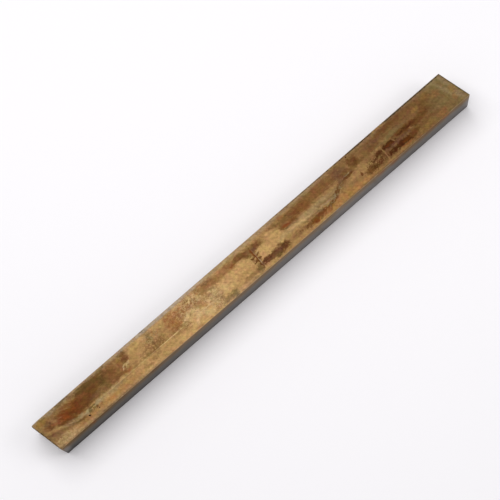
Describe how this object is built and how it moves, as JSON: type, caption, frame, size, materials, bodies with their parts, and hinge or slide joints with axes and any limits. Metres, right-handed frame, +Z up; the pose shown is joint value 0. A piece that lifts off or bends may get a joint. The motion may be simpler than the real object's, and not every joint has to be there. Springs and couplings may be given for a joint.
{
  "type": "tool bit blank",
  "caption": "Square high-speed steel bar with skewed parallel ends, ready to be ground into a lathe cutting tool.",
  "frame": {"origin": "centre of the face the bar rests on", "axes": "+X along the bar, +Y across it and +Z up, out of the heat-tinted top face"},
  "size_m": [0.203, 0.014, 0.014],
  "materials": {
    "high_speed_steel": "hardened high-speed steel: brown and gold heat tint on the top and bottom faces, fine ground grey steel on the sides and the cut ends"
  },
  "bodies": {
    "root": {"tool_bit_blank": "high_speed_steel"}
  },
  "joints": []
}
